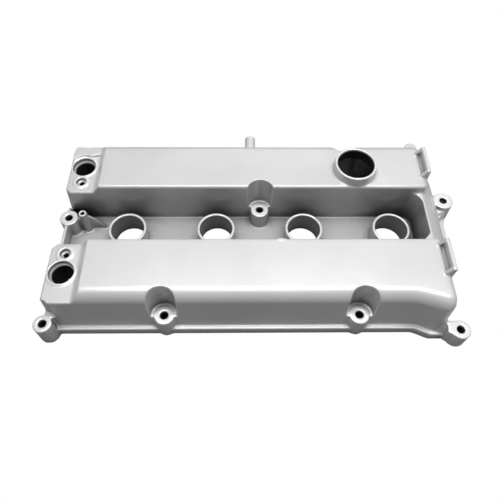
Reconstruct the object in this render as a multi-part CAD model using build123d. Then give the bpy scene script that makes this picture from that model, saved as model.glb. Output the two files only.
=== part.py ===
from build123d import *
from math import tan, radians
import os

# Engine valve cover with two cam humps. Millimetres, +X along the engine, +Y to the rear, +Z up.
# The origin is the middle of the row of plug tubes, on the sealing plane.

# Plug tubes
tube_pitch = 87.0
tube_count = 4
tube_outer_r = 18.6
tube_bore_r = 15.9
tube_top_z = 24.7
tube_land = 3.4

# Casting
wall = 3.2
draft_deg = 3.0
front_draft_deg = 7.0
flange_thick = 10.4
flange_ledge = 4.7
left_reach = 60.0
right_reach = 35.0

# Valley between the humps
valley_front = 31.0
valley_rear = 26.9
valley_floor_z = 6.0
valley_right_gap = 9.3
valley_rear_round = 11.0
valley_front_round = 6.0
valley_front_cut = 11.7
floor_thick = 3.2
end_wall_top_z = 23.0
end_wall_thick = 3.2
spine_width = 9.0

# Humps
front_hump_depth = 64.0
rear_hump_depth = 59.6
hump_top_z = 56.0
hump_round = 11.5
hump_inner_round = 2.4
end_round = 8.0
inner_corner = 2.0
flare_length = 55.0
flare_low_in = 26.0
flare_low_out = 11.4
flare_low_round = 16.0
flare_high_in = 37.5
flare_high_out = 10.1
flare_high_round = 60.0
flare_flange_out = 11.1
flare_foot_in = 17.5
flare_foot_out = 10.6
flare_foot_sink = 0.6
flare_foot_top_z = 34.0
flare_foot_top_out = 2.6
flare_foot_top_in = 5.0

# Blocks at the left end, one for each solenoid
block_top_z = 47.0
block_length = 28.0
step_run = 6.9
step_over = 0.01
block_edge = 1.4
block_foot = 3.8
block_in = 0.9
block_rear_cut_x = 2.4
block_rear_cut_y = 10.0
block_valley_cut = 4.6
deck_z = 49.7
deck_left_y = 66.2
deck_right_y = 74.6
deck_gap = 1.0
deck_edge = 1.0
solenoid_x_from_end = 14.3
front_solenoid_y = -60.8
rear_solenoid_y = 59.2
solenoid_bore_r = 9.6
solenoid_seat_r = 11.2
solenoid_seat_depth = 4.6
solenoid_ring_r = 12.8
ring_raise = 0.9
solenoid_sleeve_depth = 30.0
clip_hole_r = 2.4
clip_mouth_r = 4.8
clip_mouth_depth = 3.8
clip_boss_r = 7.4
clip_depth = 14.0
clip_offset = 19.0

# Cover bolts
bolt_hole_r = 3.6
bolt_boss_r = 9.0
boss_draft_deg = 2.4
bolt_face_z = 24.2
pocket_r = 12.2
corner_pocket_r = 12.9
pocket_step = 0.3
pocket_draft_deg = 1.0
valley_bolt_y = 23.3
front_bolt_inset = 3.4
rear_bolt_inset = 0.5
rear_tab_out = 9.5
left_corner_out = 2.4
left_corner_r = 8.3
left_corner_front = 4.1
right_corner_x = 9.5
right_corner_r = 8.8
right_corner_front = 11.2
left_mid_y = 13.5
right_mid_y = 34.6
right_mid_out = 3.5
rear_corner_out = 7.0
right_boss_r = 10.0
right_shelf_z = 16.0
right_shelf_in = 12.0
right_shelf_reach = 26.0
right_shelf_front = 12.0
tab_bottom_z = 5.5
tab_left_in = 1.2
tab_front_out = 13.5
tab_back_in = 2.2
tab_back_y = 2.8
tab_meet_x = 2.9
tab_meet_y = 8.2

# Chain end, the high bridge at the right
bridge_top_z = 46.5
bridge_ridge = 1.4
bridge_out = 21.5
bridge_bow = 3.4
bridge_front_y = 4.0
bridge_rear_y = 47.0
bridge_turn_in = 4.7
bridge_turn_y = -23.2
bridge_front_end_y = -45.2
bridge_rear_end_y = 74.4
pad_out = 29.7
pad_front = 36.0
pad_front_flat = 9.0
pad_rear_flat = 6.0
pad_rear = 18.0

# Oil filler neck
neck_x = 93.3
neck_y = 48.7
neck_outer_r = 20.3
neck_bore_r = 17.8
neck_top_z = 65.5
neck_draft_deg = 5.0

# Breather nipple
nipple_x = -9.0
nipple_z = 38.0
nipple_r = 5.4
nipple_press_r = 5.0
nipple_bore_r = 3.6
nipple_out = 20.0
nipple_bead = 1.2
nipple_boss_r = 8.5
nipple_boss_out = 2.0

# Bracket fences at the right end of each hump
fence_top_z = 65.0
fence_length = 32.6
fence_thick = 3.4
fence_inset = 0.3
fence_root = 6.4
fence_rib = 4.8
fence_rib_thick = 3.8
fence_rib_root = 2.6
front_fence_y = -52.5
rear_fence_y = 54.9

# Small threaded boss and its rib in the valley
post_x_from_end = 15.2
post_y = 14.1
post_r = 3.9
post_draft_deg = 3.4
post_hole_r = 2.0
post_hole_depth = 14.0
post_top_z = 31.0
rib_reach = 18.8
rib_top_z = 27.0
rib_mid_x = 10.4
rib_mid_z = 20.0
rib_front = 0.9
rib_thick = 2.4
web_thick = 4.0

# Lobe at the rear right
lobe_r = 6.2
lobe_x_from_end = 8.0
lobe_top_z = 50.5

# Seal groove
groove_width = 2.8
groove_depth = 3.5
groove_gap = 1.0

# Oil baffles
baffle_thick = 1.2
baffle_z = 38.0
baffle_gap = 1.5
baffle_end_gap = 12.0
baffle_hole_r = 2.6
pillar_r = 4.6
pillar_reach = 1.45
screw_r = 2.5
screw_pilot_r = 2.5
screw_length = 9.0
screw_head_r = 4.4
screw_head_h = 2.4

# Derived places
tube_x = [(i - (tube_count - 1) / 2) * tube_pitch for i in range(tube_count)]
left_x = tube_x[0] - left_reach
right_x = tube_x[-1] + right_reach
front_y = -(valley_front + front_hump_depth)
rear_y = valley_rear + rear_hump_depth
lean = tan(radians(draft_deg)) * (hump_top_z - flange_thick)
front_lean = tan(radians(front_draft_deg)) * (hump_top_z - flange_thick)
block_right_x = left_x + block_length
step_x = block_right_x + step_run
pocket_right_x = tube_x[-1] + tube_outer_r + valley_right_gap
flare_x = right_x - flare_length
far = 400.0


def prism(points, z0, z1):
    return extrude(Plane.XY.offset(z0) * make_face(Polyline(*points, close=True)), z1 - z0)


def rod(x, y, r, z0, z1):
    return Pos(x, y, (z0 + z1) / 2) * Cylinder(r, z1 - z0)


def cone(x, y, r_top, draft, z0, z1):
    """Round boss that widens downwards by its draft."""
    return Pos(x, y, (z0 + z1) / 2) * Cone(r_top + tan(radians(draft)) * (z1 - z0), r_top, z1 - z0)


def slab(x0, x1, y0, y1, z0, z1):
    return Pos((x0 + x1) / 2, (y0 + y1) / 2, (z0 + z1) / 2) * Box(x1 - x0, y1 - y0, z1 - z0)


def plan(*points):
    return make_face(Polyline(*points, close=True))


def risen(low, high, z_top):
    """Ruled form from the plan at the flange up to the plan at its top."""
    return loft([Plane.XY.offset(flange_thick) * low, Plane.XY.offset(z_top) * high], ruled=True)


def at_corner(face, x, y):
    return face.vertices().sort_by_distance(Vertex(x, y, 0))[0]


def flared_plan(y_valley, y_outer, x_end, start_in, out, bend):
    """Right end of the front hump in plan, whose outer wall swings out to the corner."""
    face = plan((flare_x, y_valley), (x_end, y_valley), (x_end, y_outer - out), (x_end - start_in, y_outer),
                (flare_x, y_outer))
    return fillet(at_corner(face, x_end - start_in, y_outer), bend)


def straight(y_valley, y_outer, lean_y, z_top, x_end):
    """Plain hump with a leaning outer wall, from the block to x_end."""
    side = 1 if y_outer > y_valley else -1
    outline = plan((y_valley, flange_thick), (y_outer, flange_thick), (y_outer - side * lean_y, z_top),
                   (y_valley, z_top))
    return extrude(Plane.YZ.offset(block_right_x) * outline, x_end - block_right_x)


def along(body, y_valley, r_outer, r_valley):
    """Round the two long top edges of a hump."""
    side = 1 if body.center().Y > y_valley else -1
    top = body.faces().sort_by(Axis.Z)[-1]
    lines = [e for e in top.edges() if abs(e.tangent_at(0.5).X) > 0.5]
    body = fillet([e for e in lines if side * (e.center().Y - y_valley) > r_outer], r_outer)
    top = body.faces().sort_by(Axis.Z)[-1]
    lines = [e for e in top.edges() if abs(e.tangent_at(0.5).X) > 0.5]
    return fillet([e for e in lines if side * (e.center().Y - y_valley) < r_outer], r_valley)


def ended(body, y_valley, r_valley, r_end):
    """Round the right end of a hump, but not its valley side."""
    end = body.faces().sort_by(Axis.X)[-1]
    ring = [e for e in end.edges() if e.center().Z > flange_thick + r_valley]
    ring = [e for e in ring if abs(e.center().Y - y_valley) > r_valley]
    return fillet(ring, r_end)


# Wall line in plan: the main box, the flare at the front right and the swelling round the chain end
swell = [
    (right_x, bridge_front_end_y),
    (right_x + bridge_out - bridge_turn_in, bridge_turn_y),
    (right_x + bridge_out, bridge_front_y),
    (right_x + bridge_out, bridge_rear_y),
    (right_x, bridge_rear_end_y),
]
bridge_plan = plan((tube_x[-1], bridge_front_end_y), *swell, (tube_x[-1], bridge_rear_end_y))
flare = (flare_low_in, flare_low_out, flare_low_round), (flare_high_in, flare_high_out, flare_high_round)
front_low = flared_plan(-valley_front, front_y, right_x, *flare[0])
front_high = flared_plan(-valley_front, front_y + front_lean, right_x, *flare[1])
inner_low = flared_plan(-valley_front - wall, front_y + wall, right_x - wall, *flare[0])
inner_high = flared_plan(-valley_front - wall, front_y + wall + front_lean, right_x - wall, *flare[1])
main_box = plan((left_x, front_y), (right_x, front_y), (right_x, rear_y), (left_x, rear_y))
wall_line = main_box + front_low + bridge_plan
inner_line = offset(wall_line, -wall, kind=Kind.INTERSECTION)
flange_line = offset(wall_line, flange_ledge, kind=Kind.ARC)
flange_line = flange_line & Rectangle(2 * far, far, align=(Align.CENTER, Align.MIN)).moved(
    Location((0, front_y - flare_flange_out)))
pad = plan(
    (right_x + bridge_out, right_mid_y - pad_front),
    (right_x + pad_out, right_mid_y - pad_front_flat),
    (right_x + pad_out, right_mid_y + pad_rear_flat),
    (right_x + bridge_out, right_mid_y + pad_rear),
)

# Bolt places
mid_bolts = [(-tube_pitch, front_y + front_bolt_inset), (tube_pitch, front_y + front_bolt_inset)]
rear_bolt = (tube_pitch, rear_y - rear_bolt_inset)
rear_tabs = [
    (left_x + pocket_r + wall, rear_y + rear_tab_out),
    (-tube_pitch, rear_y + rear_tab_out),
    (right_x + rear_corner_out, rear_y + rear_tab_out),
]
left_corner = (left_x - left_corner_out, front_y - left_corner_front)
right_corner = (right_x + right_corner_x, front_y - right_corner_front)
valley_bolt = (0, valley_bolt_y)
left_mid = (left_x, left_mid_y)
right_mid = (right_x + bridge_out + right_mid_out, right_mid_y)
pocketed = mid_bolts + [rear_bolt, left_corner, valley_bolt] + rear_tabs
plain_bolts = [left_mid]
pocket_rise = hump_top_z + 1 - (bolt_face_z - pocket_step)
pocket_top_r = pocket_r + tan(radians(pocket_draft_deg)) * pocket_rise
tower_r = pocket_top_r + wall

# Outside of the casting
shell = extrude(flange_line + pad, flange_thick)
outer_rounds = hump_round, hump_inner_round
front_body = straight(-valley_front, front_y, front_lean, hump_top_z, flare_x)
front_body = along(front_body, -valley_front, *outer_rounds)
front_end = along(risen(front_low, front_high, hump_top_z), -valley_front, *outer_rounds)
front_body = front_body + ended(front_end, -valley_front, hump_inner_round, end_round)
front_body = front_body + extrude(front_low, flange_thick)
front_body = front_body + slab(block_right_x, flare_x, front_y, -valley_front, 0, flange_thick)
rear_body = straight(valley_rear, rear_y, lean, hump_top_z, right_x)
rear_body = along(rear_body, valley_rear, *outer_rounds)
rear_body = ended(rear_body, valley_rear, hump_inner_round, end_round)
rear_body = rear_body + slab(block_right_x, right_x, valley_rear, rear_y, 0, flange_thick)


def block_plan(y_valley, y_outer, x_end, outer_cut):
    """Plan of a block, with its left corners cut where the casting has them cut."""
    side = 1 if y_outer > y_valley else -1
    x_right = step_x + 2 * wall
    corner = [(x_end, y_outer)]
    if outer_cut:
        corner = [(x_end + outer_cut[0], y_outer), (x_end, y_outer - side * outer_cut[1])]
    return plan(
        (x_end, y_valley + side * block_valley_cut),
        (x_end + block_valley_cut, y_valley),
        (x_right, y_valley),
        (x_right, y_outer),
        *corner,
    )


def block(y_valley, y_outer, draft, outer_cut):
    """Block's body and the room inside it."""
    side = 1 if y_outer > y_valley else -1
    y_top = y_outer - side * tan(radians(draft)) * (block_top_z - flange_thick)
    low = block_plan(y_valley, y_outer, left_x - block_foot, outer_cut)
    high = block_plan(y_valley, y_top, left_x + block_in, outer_cut)
    upper = risen(low, high, block_top_z)
    rim = upper.faces().sort_by(Axis.Z)[-1].edges().sort_by(Axis.X)[:-1]
    body = fillet(rim, block_edge) + extrude(low, flange_thick)
    room_low = offset(block_plan(y_valley, y_outer, left_x, outer_cut), -wall)
    room = risen(room_low, offset(high, -wall), block_top_z - wall) + extrude(room_low, flange_thick)
    return body, room


step = Plane.XZ * plan(
    (block_right_x - 1, block_top_z),
    (block_right_x, block_top_z),
    (step_x, hump_top_z + step_over),
    (step_x, hump_top_z + step_run),
    (block_right_x - 1, hump_top_z + step_run),
)
step_cut = extrude(step, far / 2, both=True)
front_block, front_block_hollow = block(-valley_front, front_y, front_draft_deg, None)
rear_block, rear_block_hollow = block(valley_rear, rear_y, draft_deg, (block_rear_cut_x, block_rear_cut_y))
block_room = slab(left_x - block_foot, block_right_x + step_run / 2, -far, far, 0, block_top_z + 1)
front_body = front_body - step_cut + (front_block & block_room)
rear_body = rear_body - step_cut + (rear_block & block_room)

# Rear part of the rear block, one step higher round the solenoid
deck = prism(
    [
        (left_x + wall / 2, deck_left_y),
        (block_right_x + step_run / 2, deck_right_y),
        (block_right_x + step_run / 2, rear_y - lean),
        (left_x + wall, rear_y - lean),
        (left_x + wall / 2, rear_y - lean - block_rear_cut_y + wall),
    ],
    block_top_z - wall,
    deck_z,
)
deck = fillet(deck.faces().sort_by(Axis.Z)[-1].edges(), deck_edge)

bridge_edge_x = pocket_right_x + bridge_ridge
slope_top = Vector(bridge_edge_x, bridge_top_z)
slope_foot = Vector(right_x + bridge_out, flange_thick)
slope_side = (slope_foot - slope_top).normalized()
slope_mid = (slope_top + slope_foot) / 2 + Vector(-slope_side.Y, slope_side.X) * bridge_bow


def bridge_section(x_left, z_low):
    outline = [
        Line((x_left, z_low), (x_left, bridge_top_z)),
        Line((x_left, bridge_top_z), slope_top),
        ThreePointArc(slope_top, slope_mid, slope_foot),
        Line(slope_foot, (slope_foot.X, z_low)),
        Line((slope_foot.X, z_low), (x_left, z_low)),
    ]
    return make_face(Wire(outline))


bridge = extrude(Plane.XZ * bridge_section(tube_x[-1], 0), far / 2, both=True) & extrude(bridge_plan, far)

# Front right corner: the flared wall runs out to the tab of the corner bolt
foot_x = right_x - flare_foot_in
foot_out = (flare_low_in - flare_foot_in) * flare_low_out / flare_low_in - flare_foot_sink
foot_low = plan(
    (foot_x, front_y),
    (foot_x, front_y - foot_out),
    (right_x - tab_left_in, front_y - flare_foot_out),
    (right_x, front_y - flare_foot_out / 2),
    (right_x, front_y),
)
foot_high = plan(
    (foot_x, front_y + wall),
    (foot_x, front_y),
    (right_x - flare_foot_top_in, front_y - flare_foot_top_out),
    (right_x - tab_left_in, front_y),
    (right_x - tab_left_in, front_y + wall),
)
flare_foot = risen(foot_low, foot_high, flare_foot_top_z) + extrude(foot_low, flange_thick)
tab = prism(
    [
        (right_x - tab_left_in, front_y - tab_back_y),
        (right_x - tab_left_in - tab_back_in / 2, front_y - tab_front_out),
        (right_corner[0] - tab_meet_x, right_corner[1] - tab_meet_y),
        (right_corner[0] + tab_meet_x, right_corner[1] + tab_meet_y),
    ],
    tab_bottom_z,
    bolt_face_z,
)

shell = shell + front_body + rear_body + bridge + flare_foot
valley_plan = plan(
    (left_x, -valley_front),
    (left_x, valley_rear),
    (pocket_right_x, valley_rear),
    (pocket_right_x, -valley_front + valley_front_cut),
    (pocket_right_x - valley_front_cut, -valley_front),
)
valley_plan = fillet(at_corner(valley_plan, pocket_right_x, valley_rear), valley_rear_round)
cut_corners = [at_corner(valley_plan, pocket_right_x, -valley_front + valley_front_cut),
               at_corner(valley_plan, pocket_right_x - valley_front_cut, -valley_front)]
valley_plan = fillet(cut_corners, valley_front_round)
shell = shell - extrude(Plane.XY.offset(valley_floor_z) * valley_plan, far)
shell = shell + slab(left_x - end_wall_thick, left_x, -valley_front, valley_rear, 0, end_wall_top_z)

# Inside of the casting
inner_rounds = hump_round - wall, inner_corner
inner_top_z = hump_top_z - wall
inner_front = -valley_front - wall
inner_rear = valley_rear + wall
front_hollow = straight(inner_front, front_y + wall, front_lean, inner_top_z, flare_x)
front_hollow = along(front_hollow, inner_front, *inner_rounds)
hollow_end = along(risen(inner_low, inner_high, inner_top_z), inner_front, *inner_rounds)
front_hollow = front_hollow + ended(hollow_end, inner_front, inner_corner, end_round - wall)
front_hollow = front_hollow + extrude(inner_low, flange_thick)
front_hollow = front_hollow + slab(block_right_x, flare_x, front_y + wall, inner_front, 0, flange_thick)
rear_hollow = straight(inner_rear, rear_y - wall, lean, inner_top_z, right_x - wall)
rear_hollow = along(rear_hollow, inner_rear, *inner_rounds)
rear_hollow = ended(rear_hollow, inner_rear, inner_corner, end_round - wall)
rear_hollow = rear_hollow + slab(block_right_x, right_x - wall, inner_rear, rear_y - wall, 0, flange_thick)
hump_room = slab(step_x + wall / 2, far, -far, far, 0, far)
front_hollow = front_hollow & hump_room
rear_hollow = rear_hollow & hump_room
chamber_section = offset(bridge_section(pocket_right_x, -far), -wall, kind=Kind.INTERSECTION)
chamber = extrude(Plane.XZ * chamber_section, far / 2, both=True) & extrude(inner_line, far)
underfloor = extrude(inner_line, valley_floor_z - floor_thick)
hollows = [front_hollow, rear_hollow, front_block_hollow, rear_block_hollow, chamber, underfloor]

# What stands inside the hollow: bolt towers, tube lands, spine, sleeves and baffle pillars
keep = [rod(x, y, tower_r, 0, hump_top_z) for x, y in pocketed]
keep += [rod(x, y, bolt_boss_r + wall, 0, hump_top_z) for x, y in [left_mid, right_mid]]
keep += [rod(x, 0, tube_outer_r + tube_land, 0, valley_floor_z) for x in tube_x]
keep += [slab(left_x, tube_x[-1], -spine_width / 2, spine_width / 2, 0, valley_floor_z)]
front_solenoid = (left_x + solenoid_x_from_end, front_solenoid_y)
rear_solenoid = (left_x + solenoid_x_from_end, rear_solenoid_y)
solenoids = [front_solenoid, rear_solenoid]
keep += [rod(x, y, solenoid_ring_r, block_top_z - solenoid_sleeve_depth, block_top_z) for x, y in solenoids]
clips = [
    (front_solenoid[0], front_solenoid[1] + clip_offset),
    (rear_solenoid[0], rear_solenoid[1] - clip_offset),
]
keep += [rod(x, y, clip_boss_r, block_top_z - clip_depth - wall, block_top_z) for x, y in clips]
nipple_wall_y = rear_y - tan(radians(draft_deg)) * (nipple_z - flange_thick)
front_mid_y = (front_y - valley_front) / 2
rear_mid_y = (rear_y + valley_rear) / 2
pillar_x = [-pillar_reach * tube_pitch, 0, pillar_reach * tube_pitch]
front_pillars = [(x, front_mid_y) for x in pillar_x]
rear_pillars = [(x, rear_mid_y) for x in pillar_x[:2]]
pillars = front_pillars + rear_pillars
keep += [rod(x, y, pillar_r, baffle_z, hump_top_z) for x, y in pillars]
for room in hollows:
    shell = shell - (room - keep)

# Raised faces, tubes, bosses and neck
deck_room = rod(*rear_solenoid, solenoid_ring_r + deck_gap, block_top_z, hump_top_z)
shell = shell + (deck - deck_room)
for x in tube_x:
    shell = shell + rod(x, 0, tube_outer_r, 0, tube_top_z)
pads = []
for (sx, sy), (cx, cy) in zip(solenoids, clips):
    pads.append(rod(sx, sy, solenoid_ring_r, block_top_z - 1, block_top_z + ring_raise))
    pads.append(rod(cx, cy, clip_boss_r, block_top_z - 1, block_top_z + ring_raise))
shell = shell + pads
neck = cone(neck_x, neck_y, neck_outer_r, neck_draft_deg, hump_top_z - wall, neck_top_z)
shell = shell + neck
for x, y in pocketed:
    floor_r = corner_pocket_r if (x, y) == left_corner else pocket_r
    well_floor = Pos(x, y, bolt_face_z - pocket_step) * Circle(floor_r)
    well = extrude(well_floor, pocket_rise + 1, taper=-pocket_draft_deg)
    shell = shell - well
right_shelf = prism(
    [
        (right_mid[0] - right_shelf_in, right_mid_y - right_shelf_reach),
        (right_mid[0], right_mid_y - right_shelf_front),
        (right_mid[0], right_mid_y + right_boss_r),
        (right_mid[0] - right_shelf_in, right_mid_y + right_boss_r),
    ],
    flange_thick - 1,
    right_shelf_z,
)
shell = shell + tab + right_shelf


def boss(x, y, r, z0=0):
    return cone(x, y, r, boss_draft_deg, z0, bolt_face_z)


for x, y in pocketed + plain_bolts:
    shell = shell + boss(x, y, left_corner_r if (x, y) == left_corner else bolt_boss_r)
shell = shell + boss(*right_mid, right_boss_r) + boss(*right_corner, right_corner_r, tab_bottom_z)

# Small boss and rib in the valley
post_x = left_x + post_x_from_end
rib_side = Plane.XZ.offset(rib_front - post_y) * plan(
    (post_x, valley_floor_z - 1),
    (post_x, rib_top_z),
    (post_x + post_r, rib_top_z),
    (post_x + rib_mid_x, rib_mid_z),
    (post_x + rib_reach, valley_floor_z),
    (post_x + rib_reach, valley_floor_z - 1),
)
rib = extrude(rib_side, -rib_thick)
web = slab(left_x, post_x, post_y - web_thick / 2, post_y + web_thick / 2, valley_floor_z - 1, end_wall_top_z)
shell = shell + cone(post_x, post_y, post_r, post_draft_deg, valley_floor_z - 1, post_top_z) + rib + web

# Fences and lobe
fence_x = right_x - fence_inset
fence_in_x = fence_x - fence_thick
for y in [front_fence_y, rear_fence_y]:
    y0 = y - fence_length / 2
    y1 = y + fence_length / 2
    shell = shell + slab(fence_in_x, fence_x, y0, y1, hump_top_z - fence_root, fence_top_z)
    for ya in [y0, y1 - fence_rib_thick]:
        gusset = Plane.XZ.offset(-ya) * plan(
            (fence_in_x - fence_rib, hump_top_z - fence_rib_root),
            (fence_in_x - fence_rib, hump_top_z),
            (fence_in_x, fence_top_z),
            (fence_in_x + fence_thick / 2, fence_top_z),
            (fence_in_x + fence_thick / 2, hump_top_z - fence_rib_root),
        )
        shell = shell + extrude(gusset, -fence_rib_thick)
lobe_x = right_x - lobe_x_from_end
shell = shell + rod(lobe_x, rear_y - lobe_r / 2, lobe_r, 0, lobe_top_z)
shell = shell + Pos(nipple_x, nipple_wall_y, nipple_z) * Rot(90, 0, 0) * Cylinder(
    nipple_boss_r, 2 * nipple_boss_out)

# Bores and holes
cuts = [rod(x, 0, tube_bore_r, -1, tube_top_z + 1) for x in tube_x]
all_bolts = pocketed + plain_bolts + [right_mid, right_corner]
cuts += [rod(x, y, bolt_hole_r, -1, bolt_face_z + 1) for x, y in all_bolts]
for x, y in solenoids:
    cuts.append(rod(x, y, solenoid_bore_r, block_top_z - solenoid_sleeve_depth - 1, block_top_z + 2))
    cuts.append(rod(x, y, solenoid_seat_r, block_top_z + ring_raise - solenoid_seat_depth, block_top_z + 2))
for x, y in clips:
    cuts.append(rod(x, y, clip_hole_r, block_top_z - clip_depth, block_top_z + 2))
    cuts.append(rod(x, y, clip_mouth_r, block_top_z + ring_raise - clip_mouth_depth, block_top_z + 2))
cuts.append(rod(neck_x, neck_y, neck_bore_r, hump_top_z - 3 * wall, neck_top_z + 1))
cuts.append(rod(post_x, post_y, post_hole_r, post_top_z - post_hole_depth, post_top_z + 1))
cuts.append(Pos(nipple_x, nipple_wall_y, nipple_z) * Rot(90, 0, 0) * Cylinder(nipple_press_r, 8 * wall))
cuts += [rod(x, y, screw_pilot_r, baffle_z - 1, baffle_z + screw_length) for x, y in pillars]
shell = shell - cuts

# Seal grooves: one round the edge, one round each tube
sealed = inner_line
for x, y in pocketed[:4] + rear_tabs + [left_mid, right_mid]:
    sealed = sealed - Pos(x, y) * Circle(tower_r)
groove = offset(sealed, groove_gap + groove_width, kind=Kind.ARC) - offset(sealed, groove_gap, kind=Kind.ARC)
tube_groove_r = (tube_bore_r + tube_outer_r + tube_land) / 2
grooves = [extrude(groove, groove_depth)]
for x in tube_x:
    grooves.append(rod(x, 0, tube_groove_r + groove_width / 2, -1, groove_depth - 1)
                   - rod(x, 0, tube_groove_r - groove_width / 2, -2, groove_depth))
shell = shell - grooves
cover_casting = shell

# Breather nipple, pressed into the rear wall
nipple_start = nipple_wall_y - wall
nipple_seat = nipple_wall_y + nipple_boss_out
nipple_end = nipple_seat + nipple_out


def pipe_along_y(r, y0, y1):
    return Pos(nipple_x, (y0 + y1) / 2, nipple_z) * Rot(90, 0, 0) * Cylinder(r, y1 - y0)


hose_end = pipe_along_y(nipple_r, nipple_seat, nipple_end)
hose_end = chamfer(hose_end.edges().sort_by(Axis.Y)[-1], nipple_bead)
pressed_end = pipe_along_y(nipple_press_r, nipple_start, nipple_seat)
breather_nipple = hose_end + pressed_end - pipe_along_y(nipple_bore_r, nipple_start - 1, nipple_end + 1)


def baffle(x0, x1, y0, y1, places, towers):
    plate = slab(x0, x1, y0, y1, baffle_z - baffle_thick, baffle_z)
    plate = plate - [rod(x, y, tower_r + baffle_gap, 0, hump_top_z) for x, y in towers]
    plate = plate - [rod(x, y, baffle_hole_r, 0, hump_top_z) for x, y in places]
    return plate


inset_y = wall + lean + baffle_gap
baffle_x0 = step_x + baffle_gap
baffle_front = baffle(baffle_x0, right_x - wall - baffle_end_gap, front_y + inset_y - lean + front_lean,
                      -valley_front - wall - baffle_gap, front_pillars, mid_bolts)
baffle_rear = baffle(baffle_x0, neck_x - neck_outer_r - baffle_gap, valley_rear + wall + baffle_gap,
                     rear_y - inset_y, rear_pillars, [valley_bolt, rear_tabs[1], rear_bolt])


def screw(x, y):
    head_z = baffle_z - baffle_thick
    head = rod(x, y, screw_head_r, head_z - screw_head_h, head_z)
    return rod(x, y, screw_r, head_z, head_z + screw_length) + head


baffle_screws = Compound([screw(x, y) for x, y in pillars])

os.makedirs("parts", exist_ok=True)
nodes = {
    "cover_casting": cover_casting,
    "breather_nipple": breather_nipple,
    "baffle_front": baffle_front,
    "baffle_rear": baffle_rear,
    "baffle_screws": baffle_screws,
}
for name, shape in nodes.items():
    export_step(shape, f"parts/{name}.step")
    box = shape.bounding_box()
    print(name, len(shape.solids()), "solids", round(shape.volume), "mm3", box.min, box.max, shape.is_valid)
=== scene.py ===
import bmesh
import bpy
import math
import numpy as np
from mathutils import Matrix, Vector
from mathutils.bvhtree import BVHTree


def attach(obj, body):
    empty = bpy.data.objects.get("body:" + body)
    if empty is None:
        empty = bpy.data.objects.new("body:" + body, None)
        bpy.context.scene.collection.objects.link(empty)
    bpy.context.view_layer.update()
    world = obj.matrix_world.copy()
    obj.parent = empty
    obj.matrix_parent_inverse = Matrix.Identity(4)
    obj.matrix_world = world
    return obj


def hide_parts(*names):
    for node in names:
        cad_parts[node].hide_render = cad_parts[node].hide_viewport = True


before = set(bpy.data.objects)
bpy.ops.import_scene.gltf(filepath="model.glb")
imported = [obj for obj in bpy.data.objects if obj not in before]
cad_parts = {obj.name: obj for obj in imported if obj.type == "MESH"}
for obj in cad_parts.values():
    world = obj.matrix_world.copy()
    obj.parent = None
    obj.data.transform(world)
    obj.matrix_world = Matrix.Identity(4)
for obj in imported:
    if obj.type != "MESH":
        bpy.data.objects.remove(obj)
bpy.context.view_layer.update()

# Camera, fitted to the photograph
FOCAL_PX = 466.008
FRAME_PX = 500
SENSOR_MM = 36.0
CLIP_START = 0.01
YAW, PITCH, ROLL = (math.radians(a) for a in (1.93492, 59.13031, 1.56580))
CAMERA_PLACE = (-0.0178967, -0.2545907, 0.4092995)

# Studio: lights as name, place, target, size and power
LIGHTS = (
    ("overhead", (0.05, 0.01, 1.1), (0.05, 0.01, 0), (1.0, 0.24), 8.5),
    ("overhead_soft", (0.02, 0.12, 1.12), (0.02, 0.12, 0), (1.2, 0.6), 3.4),
    ("rear", (0.25, 0.95, 0.80), (0, 0, 0), (1.3, 0.6), 1.7),
    ("right", (1.1, 0.1, 0.75), (0.1, 0, 0), (0.8, 0.8), 1.5),
)
WORLD_STRENGTH = 0.10
FLOOR_SIZE = 8
FLOOR_Z = -0.0004
FLOOR_GREY = 0.26
FLOOR_ROUGH = 0.9
WHITE = (1, 1, 1, 1)

# Casting: a voxel remesh, smoothed and thinned, rounds its edges
VOXEL = 0.0007
RELAX_STEPS = 6
RELAX_FACTOR = 0.5
FACE_BUDGET = 190000

# Cast forms that only the looks need: a gate mark, and the foot between the right-middle boss and the bridge,
# as the place and radius of its lower and upper ring
GATE_PLACE = (0.0175, -0.0325, 0.0548)
GATE_RADII = (0.0060, 0.0022, 0.0016)
GATE_DIVISIONS = 4
BOSS_FOOT = ((0.1835, 0.0280, 0.0090, 0.0115), (0.1870, 0.0320, 0.0195, 0.0090))
FOOT_SIDES = 64

# Machined faces: height above the sealing face and reach of each window, the share of the reach where a window
# is full, and how level a face is where it starts and is fully machined
MACHINED = ((0.0244, 0.0010), (0.0478, 0.0005), (0.0433, 0.0005), (0.0654, 0.0006), (0.0309, 0.0006))
MACHINED_FULL = 0.6
MACHINED_NORMAL = (0.80, 0.97)

# Bores painted darker inside as painted shade, near black in the deep ones and grey in the tubes: place, radius
# and top
DEEP_BORES = (
    (0.0933, 0.0487, 0.0178, 0.0640),
    (-0.1762, -0.0608, 0.0096, 0.0425),
    (-0.1762, 0.0592, 0.0096, 0.0425),
    (0.1905, 0.0346, 0.0036, 0.0240),
)
TUBE_BORES = tuple((x, 0.0, 0.0159, 0.0240) for x in (-0.1305, -0.0435, 0.0435, 0.1305))
BORE_EDGE = 0.0005

# Painted shade in holes and recesses, darker where the casting shelters a place: the reach that counts, and how
# open a place is where each is full and ends
SHELTER_RAYS = 8
HOLE_SHADE_REACH = 0.025
HOLE_SHADE_OPEN = (0.20, 0.58)
RECESS_REACH = 0.07
RECESS_OPEN = (0.42, 0.70)
RECESS_SHARE = 0.62
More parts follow.
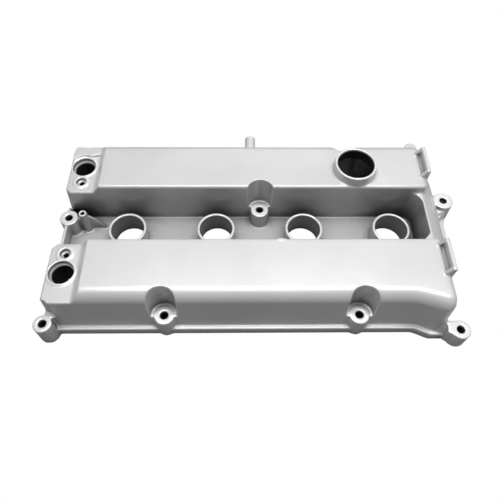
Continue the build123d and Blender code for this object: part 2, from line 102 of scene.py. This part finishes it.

# Finish of the casting, and the painted shade in its recesses, tube bores and holes
GRAIN_SCALE, GRAIN_DETAIL = 1400.0, 3.0
ORANGE_SCALE, ORANGE_DETAIL = 260.0, 2.0
CLOUD_SCALE, CLOUD_DETAIL = 18.0, 3.0
PAINT_COLORS = ((0.70, 0.70, 0.705), (0.75, 0.75, 0.755))
RAW_COLORS = ((0.40, 0.40, 0.40), (0.52, 0.52, 0.525))
# Painted shade: the darker tone laid into recesses
RECESS_SHADE_COLOR = (0.24, 0.24, 0.245, 1)
BARE_COLOR = (0.88, 0.88, 0.88, 1)
# Painted shade: the darker tone inside the spark plug tube bores
TUBE_SHADE_COLOR = (0.26, 0.26, 0.26, 1)
# Painted shade: near black inside holes and deep bores
HOLE_SHADE_COLOR = (0.012, 0.012, 0.012, 1)
PAINT_ROUGH = (0.33, 0.43)
BARE_ROUGH = 0.28
RAW_ROUGH = 0.55
HOLE_ROUGH = 0.8
PAINT_METAL = 0.2
COAT_WEIGHT = 0.3
COAT_ROUGH = 0.08
GRAIN_RELIEF = 0.35
CAST_BUMP = (0.00008, 0.35)

# Finish of the steel pieces
LINE_STRETCH = (0.06, 1.0, 1.0)
LINE_DETAIL = 4.0
STEEL_CLOUD_SCALE, STEEL_CLOUD_DETAIL = 60.0, 2.0
STEEL_ROUGH_SPREAD = 0.14
STEEL_BUMP = (0.00005, 0.3)

# The part of a noise that roughness runs over, and the part that colours run over
NOISE_SPAN = (0.3, 0.7)
COLOR_SPAN = (0.35, 0.65)


def link(obj):
    bpy.context.scene.collection.objects.link(obj)
    return obj


def make_camera():
    cam = bpy.data.cameras.new("camera")
    cam.sensor_width = SENSOR_MM
    cam.lens = FOCAL_PX / FRAME_PX * SENSOR_MM
    cam.clip_start = CLIP_START
    obj = link(bpy.data.objects.new("camera", cam))
    forward = Vector((math.sin(YAW) * math.cos(PITCH), math.cos(YAW) * math.cos(PITCH), -math.sin(PITCH)))
    level = Vector((math.cos(YAW), -math.sin(YAW), 0))
    up = level.cross(forward)
    right = math.cos(ROLL) * level + math.sin(ROLL) * up
    up = math.cos(ROLL) * up - math.sin(ROLL) * level
    obj.matrix_world = Matrix((
        (right.x, up.x, -forward.x, CAMERA_PLACE[0]),
        (right.y, up.y, -forward.y, CAMERA_PLACE[1]),
        (right.z, up.z, -forward.z, CAMERA_PLACE[2]),
        (0, 0, 0, 1),
    ))
    bpy.context.scene.camera = obj


class Graph:
    """Short calls for building a node material."""

    def __init__(self, name):
        self.mat = bpy.data.materials.new(name)
        self.mat.use_nodes = True
        self.tree = self.mat.node_tree
        self.bsdf = self.tree.nodes["Principled BSDF"]

    def add(self, kind, values=None, **props):
        node = self.tree.nodes.new(kind)
        for key, value in props.items():
            setattr(node, key, value)
        for key, value in (values or {}).items():
            self.feed(node.inputs[key], value)
        return node

    def feed(self, socket, value):
        if isinstance(value, bpy.types.NodeSocket):
            self.tree.links.new(value, socket)
        else:
            socket.default_value = value

    def math(self, operation, a, b=0.0):
        return self.add("ShaderNodeMath", {0: a, 1: b}, operation=operation).outputs[0]

    def vector(self, operation, a, b=(0, 0, 0), output=0):
        return self.add("ShaderNodeVectorMath", {0: a, 1: b}, operation=operation).outputs[output]

    def noise(self, coord, scale, detail):
        return self.add("ShaderNodeTexNoise", {"Vector": coord, "Scale": scale, "Detail": detail}).outputs["Fac"]

    def openness(self, reach):
        node = self.add("ShaderNodeAmbientOcclusion", {"Distance": reach}, samples=SHELTER_RAYS)
        return node.outputs["AO"]

    def ramp(self, value, low, high, colors):
        node = self.add("ShaderNodeValToRGB", {"Fac": value})
        for stop, place, color in zip(node.color_ramp.elements, (low, high), colors):
            stop.position = place
            stop.color = (*color, 1)
        return node.outputs["Color"]

    def span(self, value, low, high, to_low, to_high):
        values = {"Value": value, "From Min": low, "From Max": high, "To Min": to_low, "To Max": to_high}
        return self.add("ShaderNodeMapRange", values).outputs["Result"]

    def mix_value(self, factor, a, b):
        return self.add("ShaderNodeMix", {0: factor, 2: a, 3: b}, data_type="FLOAT").outputs[0]

    def mix_color(self, factor, a, b):
        return self.add("ShaderNodeMix", {0: factor, 6: a, 7: b}, data_type="RGBA").outputs[2]

    def bump(self, height, distance, strength):
        values = {"Height": height, "Distance": distance, "Strength": strength}
        return self.add("ShaderNodeBump", values).outputs["Normal"]

    def surface(self, **values):
        for key, value in values.items():
            self.feed(self.bsdf.inputs[key.replace("_", " ")], value)
        return self.mat


def bore_mask(g, place, height, bores):
    """1 inside these bores, walls included, below their tops."""
    mask = 0.0
    for x, y, radius, top in bores:
        flat = g.vector("MULTIPLY", g.vector("SUBTRACT", place, (x, y, 0)), (1, 1, 0))
        away = g.vector("LENGTH", flat, output="Value")
        near = g.span(away, radius + 2 * BORE_EDGE, radius + BORE_EDGE, 0.0, 1.0)
        below = g.span(height, top, top - 2 * BORE_EDGE, 0.0, 1.0)
        mask = g.math("MAXIMUM", mask, g.math("MULTIPLY", near, below))
    return mask


def machined_mask(g, height, upward):
    """1 on level faces at the heights of the machined ones."""
    windows = 0.0
    for z, reach in MACHINED:
        away = g.math("ABSOLUTE", g.math("SUBTRACT", height, z))
        windows = g.math("MAXIMUM", windows, g.span(away, reach, MACHINED_FULL * reach, 0.0, 1.0))
    return g.math("MULTIPLY", windows, g.span(upward, *MACHINED_NORMAL, 0.0, 1.0))


def cast_paint():
    """Silver paint on a fine cast skin: bright on the machined faces, raw inside, with painted shade in
    recesses, tube bores and holes.
    """
    g = Graph("silver_cast")
    place = g.add("ShaderNodeTexCoord").outputs["Object"]
    height = g.add("ShaderNodeSeparateXYZ", {"Vector": place}).outputs["Z"]
    normal = g.add("ShaderNodeNewGeometry").outputs["Normal"]
    upward = g.add("ShaderNodeSeparateXYZ", {"Vector": normal}).outputs["Z"]
    machined = machined_mask(g, height, upward)
    inside = g.add("ShaderNodeAttribute", attribute_name="inside").outputs["Fac"]
    # Painted shade: holes and deep bores turn near black where little light reaches
    hole_shade = g.span(g.openness(HOLE_SHADE_REACH), *HOLE_SHADE_OPEN, 1.0, 0.0)
    hole_shade = g.math("MULTIPLY", hole_shade, g.math("SUBTRACT", 1.0, inside))
    hole_shade = g.math("MAXIMUM", hole_shade, bore_mask(g, place, height, DEEP_BORES))
    # Painted shade: the tube bores turn darker inside
    tube_shade = bore_mask(g, place, height, TUBE_BORES)
    # Painted shade: recesses turn darker the more sheltered they are
    recess_shade = g.span(g.openness(RECESS_REACH), *RECESS_OPEN, RECESS_SHARE, 0.0)
    grain = g.noise(place, GRAIN_SCALE, GRAIN_DETAIL)
    orange = g.noise(place, ORANGE_SCALE, ORANGE_DETAIL)
    cloud = g.noise(place, CLOUD_SCALE, CLOUD_DETAIL)
    color = g.mix_color(recess_shade, g.ramp(cloud, *COLOR_SPAN, PAINT_COLORS), RECESS_SHADE_COLOR)
    color = g.mix_color(machined, color, BARE_COLOR)
    color = g.mix_color(inside, color, g.ramp(orange, *NOISE_SPAN, RAW_COLORS))
    color = g.mix_color(tube_shade, color, TUBE_SHADE_COLOR)
    color = g.mix_color(hole_shade, color, HOLE_SHADE_COLOR)
    rough = g.span(grain, *NOISE_SPAN, *PAINT_ROUGH)
    rough = g.mix_value(machined, rough, BARE_ROUGH)
    rough = g.mix_value(inside, rough, RAW_ROUGH)
    rough = g.mix_value(hole_shade, rough, HOLE_ROUGH)
    relief = g.math("ADD", g.math("MULTIPLY", grain, GRAIN_RELIEF), orange)
    return g.surface(Base_Color=color, Metallic=PAINT_METAL, Roughness=rough, Coat_Weight=COAT_WEIGHT,
                     Coat_Roughness=COAT_ROUGH, Normal=g.bump(relief, *CAST_BUMP))


def steel(name, light, dark, rough, scale, metallic=0.85):
    """Drawn or rolled steel with fine lines along X and a little cloudiness."""
    g = Graph(name)
    place = g.add("ShaderNodeTexCoord").outputs["Object"]
    lines = g.add("ShaderNodeMapping", {"Vector": place, "Scale": LINE_STRETCH}).outputs["Vector"]
    drawn = g.noise(lines, scale, LINE_DETAIL)
    cloud = g.noise(place, STEEL_CLOUD_SCALE, STEEL_CLOUD_DETAIL)
    blend = g.mix_value(0.5, drawn, cloud)
    return g.surface(Base_Color=g.ramp(blend, *COLOR_SPAN, (dark, light)), Metallic=metallic,
                     Roughness=g.span(drawn, *NOISE_SPAN, rough, rough + STEEL_ROUGH_SPREAD),
                     Normal=g.bump(drawn, *STEEL_BUMP))


def sky_hidden(mesh):
    """1 for each vertex that has a part of the casting straight above it, else 0."""
    tree = BVHTree.FromPolygons([v.co for v in mesh.vertices], [p.vertices for p in mesh.polygons])
    up = Vector((0, 0, 1))
    lift = 2 * VOXEL
    hidden = np.zeros(len(mesh.vertices), dtype=np.float32)
    for v in mesh.vertices:
        start = v.co + v.normal * lift + up * lift
        if tree.ray_cast(start, up)[0] is not None:
            hidden[v.index] = 1.0
    return hidden


def add_cast_forms(mesh):
    """Adds the closed forms that the remesh melts into the casting."""
    bm = bmesh.new()
    bm.from_mesh(mesh)
    gate = Matrix.Translation(GATE_PLACE) @ Matrix.Diagonal((*GATE_RADII, 1))
    bmesh.ops.create_icosphere(bm, subdivisions=GATE_DIVISIONS, radius=1, matrix=gate)
    turns = [2 * math.pi * i / FOOT_SIDES for i in range(FOOT_SIDES)]
    low, high = ([bm.verts.new((x + r * math.cos(a), y + r * math.sin(a), z)) for a in turns]
                 for x, y, z, r in BOSS_FOOT)
    for i in range(FOOT_SIDES):
        j = (i + 1) % FOOT_SIDES
        bm.faces.new((low[i], low[j], high[j], high[i]))
    bm.faces.new(low[::-1])
    bm.faces.new(high)
    bm.to_mesh(mesh)
    bm.free()


def evaluated(obj):
    bpy.context.view_layer.update()
    graph = bpy.context.evaluated_depsgraph_get()
    return bpy.data.meshes.new_from_object(obj.evaluated_get(graph), depsgraph=graph)


def rounded_casting():
    """The casting with its sharp edges rounded, as casting leaves them."""
    body = link(bpy.data.objects.new("casting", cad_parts["cover_casting"].data.copy()))
    body.data.materials.clear()
    add_cast_forms(body.data)
    remesh = body.modifiers.new("remesh", "REMESH")
    remesh.mode = "VOXEL"
    remesh.voxel_size = VOXEL
    relax = body.modifiers.new("relax", "SMOOTH")
    relax.factor = RELAX_FACTOR
    relax.iterations = RELAX_STEPS
    triangles = 2 * len(evaluated(body).polygons)
    thin = body.modifiers.new("thin", "DECIMATE")
    thin.ratio = min(1.0, FACE_BUDGET / triangles)
    mesh = evaluated(body)
    body.modifiers.clear()
    body.data = mesh
    mesh.shade_smooth()
    mesh.attributes.new("inside", "FLOAT", "POINT").data.foreach_set("value", sky_hidden(mesh))
    return body


def area_light(name, place, target, size, power):
    light = bpy.data.lights.new(name, "AREA")
    light.shape = "RECTANGLE"
    light.size, light.size_y = size
    light.energy = power
    obj = link(bpy.data.objects.new(name, light))
    obj.location = place
    obj.rotation_euler = (Vector(target) - Vector(place)).to_track_quat("-Z", "Y").to_euler()


def make_world():
    """A dim world that looks white where the floor ends."""
    world = bpy.data.worlds.new("studio")
    world.use_nodes = True
    tree = world.node_tree
    strength = tree.nodes.new("ShaderNodeMapRange")
    strength.inputs["To Min"].default_value = WORLD_STRENGTH
    tree.links.new(tree.nodes.new("ShaderNodeLightPath").outputs["Is Camera Ray"], strength.inputs["Value"])
    tree.nodes["Background"].inputs["Color"].default_value = WHITE
    tree.links.new(strength.outputs["Result"], tree.nodes["Background"].inputs["Strength"])
    bpy.context.scene.world = world


def make_floor():
    """A floor that looks white and reflects as grey."""
    bpy.ops.mesh.primitive_plane_add(size=FLOOR_SIZE, location=(0, 0, FLOOR_Z))
    floor = bpy.context.object
    floor.name = "floor"
    g = Graph("floor_white")
    g.surface(Base_Color=(FLOOR_GREY, FLOOR_GREY, FLOOR_GREY, 1), Roughness=FLOOR_ROUGH)
    white = g.add("ShaderNodeEmission", {"Strength": 1.0}).outputs["Emission"]
    seen = g.add("ShaderNodeLightPath").outputs["Is Camera Ray"]
    mix = g.add("ShaderNodeMixShader", {0: seen, 1: g.bsdf.outputs["BSDF"], 2: white})
    g.feed(g.tree.nodes["Material Output"].inputs["Surface"], mix.outputs["Shader"])
    floor.data.materials.append(g.mat)


make_camera()
make_world()
bpy.context.scene.view_settings.view_transform = "Standard"
for light in LIGHTS:
    area_light(*light)
make_floor()
casting = rounded_casting()
casting.data.materials.append(cast_paint())
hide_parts("cover_casting")
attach(casting, "root")
sheet = steel("rolled_sheet", (0.56, 0.56, 0.57), (0.44, 0.44, 0.45), 0.32, 700.0)
finishes = {
    "breather_nipple": steel("painted_tube", (0.78, 0.78, 0.78), (0.70, 0.70, 0.70), 0.30, 400.0, 0.2),
    "baffle_front": sheet,
    "baffle_rear": sheet,
    "baffle_screws": steel("zinc", (0.62, 0.60, 0.53), (0.50, 0.49, 0.45), 0.26, 500.0),
}
for name, finish in finishes.items():
    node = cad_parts[name]
    node.data.materials.clear()
    node.data.materials.append(finish)
